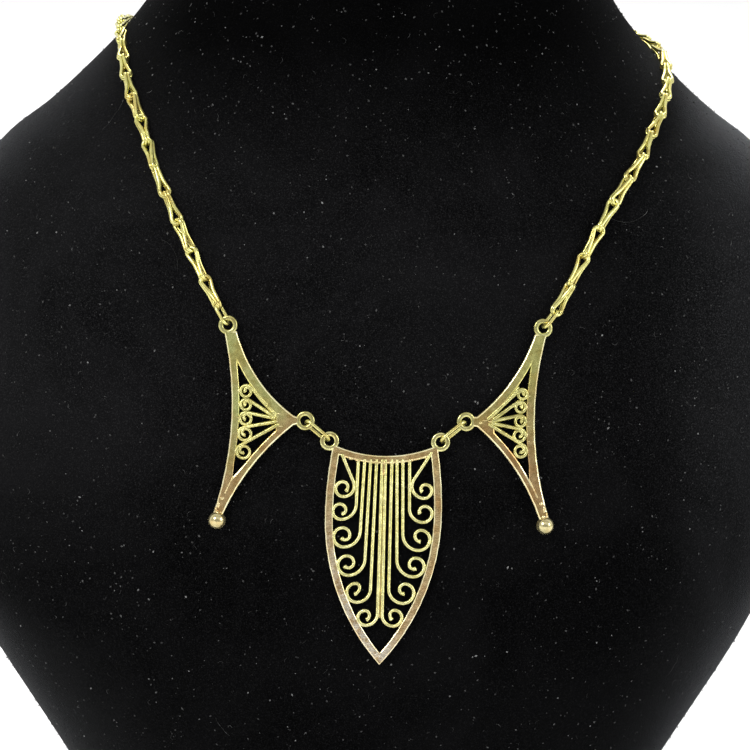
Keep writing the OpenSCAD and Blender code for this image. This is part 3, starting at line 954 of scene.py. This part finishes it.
def makeSidePanel(name, node, side):
    s, shape = sidePanels, sidePanels[side]
    foot = np.array(shape["foot"])
    # the three concave edges, then the outline
    outer = circleThrough(s["outerTop"], shape["outerMid"], foot + s["outerFoot"])
    upper = circleThrough(*shape["upperEdge"])
    lower = circleThrough(s["lowerEnd"], shape["lowerMid"], foot + s["lowerFoot"])
    a, b = onCircleAtY(outer, s["topCut"], True), onCircleAtY(upper, s["topCut"], False)
    c, d = shape["upperEdge"][2], s["lowerEnd"]
    cut = foot[1] + s["footCut"]
    e, f = onCircleAtY(lower, cut, False), onCircleAtY(outer, cut, True)
    outline = (arcPoints(upper, b, c, 48) + [c] + [(s["neckEnd"], y) for y in shape["neck"]]
               + arcPoints(lower, d, e, 48) + [e] + arcPoints(outer, f, a, 60) + [a])
    # the opening lies a bar's width inside each edge
    inOuter, inUpper, inLower = [
        (x, y, r + rim) for (x, y, r), rim in zip((outer, upper, lower), shape["rims"])]
    apex = crossing(inOuter, inUpper, s["nearApex"])
    endA, endB = onCircleAtX(inUpper, s["openingEnd"], False), onCircleAtX(inLower, s["openingEnd"], True)
    # the two bars meet above the point where their edges would cross
    low = np.array(crossing(inOuter, inLower, s["nearLow"])) + shape["web"]
    start = low[1] + s["lowRise"]
    lowA, lowB = onCircleAtY(inLower, start, False), onCircleAtY(inOuter, start, True)
    opening = (arcPoints(inUpper, apex, endA, 30) + [endA] + arcPoints(inLower, endB, lowA, 36) + [lowA, low]
               + arcPoints(inOuter, lowB, apex, 44))
    shell = Shell()
    # the outline's edges take the paler gold of filed polish and a painted highlight; the opening's edges
    # keep the plate's gold
    cutPlate(shell, [outline, opening], s["bevel"], 4, 0, s["wobble"])
    for centre in ((0, 0), shape["ring"]):
        washer(shell, centre, 5)
    seed = shape["seed"]
    for number, (middle, radius, stemEnd) in enumerate(shape["coils"]):
        middle, meet = np.array(middle), np.array(stemEnd)
        gap = middle - meet
        heading = degrees(atan2(gap[1], gap[0]) - asin(radius / norm(gap)))
        h = radians(heading + 90)
        start = middle - radius * np.array((cos(h), sin(h)))
        stem = linePath(meet, start, s["step"])[:-1]
        path = stem + turnPath(start, heading, [(q * radius, 90) for q in s["coilShares"]], s["step"])
        # the stems are stouter than the coils
        fade = len(stem) + 6
        thick = [s["wire"] + s["stemGain"] * max(0.0, 1 - i / fade) ** 0.5 for i in range(len(path))]
        layWire(shell, path, 0.12 + 0.02 * (number % 2), thick, endGrow=0.3)
        rimSide = onCircleAtY(outer, middle[1], True)[0] + shape["rims"][0]
        solderLump(shell, (rimSide - 0.05, middle[1], 0.04), s["coilSolder"], 200 + number + seed)
    # the second wire along the upper bar starts beside the first coil
    start = onCircleAtX(inUpper, shape["coils"][0][0][0] + 0.9, False)
    beside = arcPoints((inUpper[0], inUpper[1], inUpper[2] + 0.2), start, (11.6, -17.2), 60)
    layWire(shell, beside, 0.16, s["secondWire"], ripple=0.06)
    # dabs of solder where the stems end and on the outer bar
    solderLumps(shell, (0, 0), shape["dabs"], lift=0.24, thick=0.2, seed=300 + 20 * seed)
    # ball, and the solder that holds it
    turns = spread(0.001, pi - 0.001, 48)
    points, faces = lathe([(s["ball"] * sin(t), s["ball"] * cos(t)) for t in turns], 80)
    points = [(foot[0] + x, foot[1] + y, h) for x, y, h in points]
    shell.add(points, [tuple(reversed(q)) for q in faces], True, 3)
    solderLumps(shell, foot, s["ballSolder"], lift=0.2, thick=0.34, seed=400 + 20 * seed)
    # a bright blob above the ball, lumps beside it, and a seam that runs down from the opening
    solderLumps(shell, foot, [(*shape["blob"], 0.42, 0.4)], lift=0.5, thick=0.4, seed=431 + seed, shade=3)
    solderLumps(shell, foot, s["drips"], lift=0.3, thick=0.16, seed=440 + 20 * seed)
    way = foot + (0.5, 3.4) - low
    solderSeam(shell, [(*(low + way * t), 0.3) for t in np.arange(-0.08, 0.62, 0.02)], 0.13, 460 + seed)
    if side == "right":
        shell.faces = [tuple(reversed(q)) for q in shell.faces]
    # the side panels' wires take the darker gold, a painted shade
    looks = [shape["plate"], "shadedFanWire", "solder", "ball", "edgePolishAndHighlight", "ring"]
    finishPiece(name, shell, looks, node, sidePlace(side))


makeSidePanel("leftPanelWork", "left_panel", "left")
makeSidePanel("rightPanelWork", "right_panel", "right")
print("side panels made")


# Plain oval links and the chains' folded links; angles in degrees

ovals = {
    "wire": 0.35,
    "bend": 1.16,
    "seat": 0.27,           # from the middle of a ring to the middle of the link's wire
    "chainSeat": 0.47,      # the same at the ends of the chains
    "connectorTurn": 22.0,
    "endTurns": {"left": -20.0, "right": 8.0},
}
chains = {
    "wire": 0.345,
    "strand": 0.42,         # the strands look a little thicker between the bends
    "pull": 0.20,           # and lie closer together there
    "bend": 1.02,
    "side": 0.29,
    "overlap": 0.86,
    "count": 24,
    "lift": 1.29,
    "settle": 0.25,         # it lies deeper in the pile where it goes over the shoulders,
    "shoulder": (95, 17),   # at this angle round the bust, give or take
    "rise": 0.3,
    "past": 0.32,           # each arch goes on a little past its half turn
    # angle round the bust and height
    "left": [
        (-22.1, 128), (-27.2, 139.1), (-32.8, 148.7), (-41.85, 158.4), (-53.2, 165.6), (-66.2, 171.8),
        (-80, 175.6), (-93, 176.8), (-107, 175.6), (-125, 174.2), (-145, 173.2), (-170.5, 173)],
    "right": [
        (20.9, 127.6), (26, 139.3), (32.4, 149), (42.75, 157.3), (49.5, 160.9), (62.2, 166.3),
        (75.8, 170.4), (86, 172.2), (96, 173.2), (107, 173.7), (125, 173.9), (145, 173.2), (172.5, 173)],
    "front": (-0.06, -0.98, 0.2),
    # each link's own turn in front; 90 shows it wide at the top, 180 at the foot
    "leftTurns": [-68, -106, -130, -164, -160, -112, -74, -124, -165, -190, -160],
    "rightTurns": [32, 72, 108, 76, 30, 14, -14, 16, -12, 14, -10, 12],
    "backTurns": (60, 69, 78),
}


def routePoint(route, t):
    angle = route[0][0] + t * (route[-1][0] - route[0][0])
    z = smoothColumn(route, angle, 1)
    n = outward(angle, z)
    at, span = chains["shoulder"]
    settle = chains["settle"] * exp(-((abs(angle) - at) / span) ** 2)
    return skin(angle, z) + (chains["lift"] - settle + chains["rise"] * t ** 6) * n, n


def standing(a, b, out):
    # axes of something that runs from a to b and faces out
    along = unit(b - a)
    facing = unit(out - np.dot(out, along) * along)
    return np.cross(facing, along), facing, along


def turned(axes, turn):
    # the first two axes turned about the third, in degrees
    x, y, z = axes
    c, s = cos(radians(turn)), sin(radians(turn))
    return x * c + y * s, y * c - x * s, z


def ovalLink(a, b, out, turn):
    x, y, z = turned(standing(a, b, out), turn)
    middle = (a + b) / 2
    bend = ovals["bend"]
    half = norm(b - a) / 2 - bend
    line = []
    for end in (1, -1):
        for t in spread(0, pi, 19):
            line.append(middle + end * (y * bend * cos(t) + z * (half + bend * sin(t))))
        for i in range(1, 6):
            line.append(middle + end * (-y * bend + z * half * (1 - i / 3)))
    return sweep(line, ovals["wire"], 12, closed=True)


def onPlane(place, p):
    origin, u, w, n = place
    return origin + p[0] * u + p[1] * w


def linkPiece(name, made, node):
    shell = Shell()
    shell.add(*made)
    finishPiece(name, shell, ["link"], node)


def makeOvals():
    middle = centrePlace()
    for side, way in (("left", -1), ("right", 1)):
        start = onPlane(sidePlace(side), sidePanels[side]["ring"])
        end = onPlane(middle, centrePanel["rings"][side])
        seat = ovals["seat"] * unit(start - end)
        made = ovalLink(end + seat, start - seat, middle[3], -way * ovals["connectorTurn"])
        linkPiece(side + "ConnectorLink", made, side + "_connector")
    for side in ("left", "right"):
        ring = sidePlace(side)[0]
        joint, n = routePoint(chains[side], 0)
        along = unit(joint - ring)
        a, b = ring + ovals["seat"] * along, joint + ovals["chainSeat"] * along
        linkPiece(side + "EndLink", ovalLink(a, b, n, ovals["endTurns"][side]), side + "_end_link")


def foldedLink(a, b, out, turn):
    # a loop of wire folded in two, its two ends crosswise to each other
    x, y, z = turned(standing(a, b, out), turn)
    middle = (a + b) / 2
    bend, side, past = chains["bend"], chains["side"], chains["past"]
    reach = (norm(b - a) + chains["overlap"]) / 2 - bend
    arch = spread(-past, pi + past, 15)
    wide, low = bend * cos(past), reach - bend * sin(past)
    line, radii = [], []

    def place(p, thick):
        line.append(middle + p[0] * x + p[1] * y + p[2] * z)
        radii.append(chains["wire"] + (chains["strand"] - chains["wire"]) * thick)

    def strand(p, q, across):
        # straight in from one arch, easing into the next one, which stands crosswise
        for i in range(1, 11):
            t = i / 11
            close = sin(pi * t) ** 2
            share = 1 - chains["pull"] * close
            early, late = 1 - (1 - t) ** 1.3, t ** 1.3
            mix = (early, late) if across else (late, early)
            level = [share * (p[k] + (q[k] - p[k]) * mix[k]) for k in (0, 1)]
            place((*level, p[2] + (q[2] - p[2]) * t), sin(pi * t))

    for flip in (1, -1):
        for t in arch:
            place((flip * side, -flip * bend * cos(t), reach + bend * sin(t)), 0)
        strand((flip * side, flip * wide, low), (flip * wide, flip * side, -low), False)
        for t in arch:
            place((flip * bend * cos(t), flip * side, -reach - bend * sin(t)), 0)
        strand((-flip * wide, flip * side, -low), (-flip * side, flip * wide, low), True)
    return sweep(line, radii, 10, closed=True)


def makeChain(side, way):
    route, count = chains[side], chains["count"]
    # joints at even distances along the route
    shares = spread(0, 1, 401)
    points = [routePoint(route, t)[0] for t in shares]
    reach = np.concatenate([[0], np.cumsum([norm(q - p) for p, q in zip(points, points[1:])])])
    at = np.interp(reach[-1] * np.arange(count + 1) / count, reach, shares)
    joints = [routePoint(route, float(t)) for t in at]
    turns, back = chains[side + "Turns"], chains["backTurns"]
    shell = Shell()
    for i, ((a, na), (b, nb)) in enumerate(zip(joints, joints[1:])):
        if i < len(turns):
            made = foldedLink(a, b, np.array(chains["front"]), turns[i])
        else:
            made = foldedLink(a, b, na + nb, way * back[i % 3])
        shell.add(*made)
    finishPiece(side + "ChainLinks", shell, ["link"], side + "_chain")
    return joints[-1]


makeOvals()
leftEnd = makeChain("left", -1)
rightEnd = makeChain("right", 1)
print("links and chains made")


# Clasp behind the neck

clasp = {
    "radius": 1.0,
    "eye": 1.15,
    "eyeWire": 0.3,
    "grooves": (-0.62, -0.48, 0.48, 0.62),
    "rounding": [(0.999, 0), (0.4, 0), (0.14, 0.12), (0, 0.4)],    # in from the radius and from the end
}


def makeClasp():
    (a, na), (b, nb) = leftEnd, rightEnd
    x, y, z = standing(a, b, na + nb)
    middle = (a + b) / 2
    eye, r = clasp["eye"], clasp["radius"]
    eyeAt = norm(b - a) / 2 + ovals["chainSeat"] - eye
    half = eyeAt - eye
    profile = [(r - p, q - half) for p, q in clasp["rounding"]]
    for share in clasp["grooves"]:
        c = share * half
        profile += [(r, c - 0.14), (r - 0.1, c - 0.05), (r - 0.1, c + 0.05), (r, c + 0.14)]
    profile += [(r - p, half - q) for p, q in reversed(clasp["rounding"])]
    points, faces = lathe(profile, 40)
    shell = Shell()
    shell.add([middle + p[0] * x + p[1] * y + p[2] * z for p in points], faces)
    for end in (-1, 1):
        line = []
        for i in range(36):
            t = 2 * pi * i / 36
            line.append(middle + x * eye * cos(t) + z * (end * eyeAt + eye * sin(t)))
        shell.add(*sweep(line, clasp["eyeWire"], 12, closed=True))
    finishPiece("barrelClasp", shell, ["link"], "clasp")


makeClasp()
print("clasp made")


# Floor, world and lights

stageLook = {
    "far": 14.0,            # metres from the middle to the floor's edges
    "floor": [(0.3, 0.90), (0.7, 0.94)],
    # a pale tent from front to back: dim opening, bright round it, softer at the sides, white behind
    "world": [(0.0, 0.36), (0.065, 0.40), (0.11, 0.95), (0.20, 1.0), (0.30, 0.74), (0.40, 0.45),
              (0.50, 0.90), (0.62, 1.0)],
    "aim": (0, 0, 0.12),
    "lights": {             # place, size, power and colour
        "keyLeft": ((-0.75, -0.85, 0.95), (0.5, 0.5), 11.0, (1.0, 0.98, 0.95)),
        "fillRight": ((0.95, -0.55, 0.55), (0.45, 0.6), 5.0, (0.96, 0.98, 1.0)),
        "topRear": ((0.1, 0.7, 1.1), (0.9, 0.5), 10.0, (1, 1, 1)),
    },
}


def makeStage():
    mesh = bpy.data.meshes.new("studioFloor")
    far = stageLook["far"]
    mesh.from_pydata([(-far, -far, 0), (far, -far, 0), (far, far, 0), (-far, far, 0)], [], [(0, 1, 2, 3)])
    mesh.materials.append(mottledMaterial("paleFloor", 2.0, 2.0, stageLook["floor"]))
    newObject("studioFloor", mesh)


def makeWorld():
    world = bpy.data.worlds.new("studioWorld")
    scene.world = world
    world.use_nodes = True
    tree = world.node_tree
    where = addNode(tree, "ShaderNodeTexCoord")
    split = addNode(tree, "ShaderNodeSeparateXYZ", Vector=where.outputs["Generated"])
    tone = ramp(tree, mapped(tree, split.outputs["Y"], -1.0, 1.0), stageLook["world"])
    background = next(n for n in tree.nodes if n.type == "BACKGROUND")
    setSockets(tree, background, Color=tone, Strength=1.0)


def makeLight(name, place, size, power, colour):
    data = bpy.data.lights.new(name, "AREA")
    data.shape = "RECTANGLE"
    data.size, data.size_y = size
    data.energy = power
    data.color = colour
    lamp = newObject(name, data)
    lamp.location = place
    lamp.rotation_euler = (Vector(stageLook["aim"]) - Vector(place)).to_track_quat("-Z", "Y").to_euler()


makeStage()
makeWorld()
for name, light in stageLook["lights"].items():
    makeLight(name, *light)
scene.view_settings.view_transform = "Standard"
print("stage and lights made")
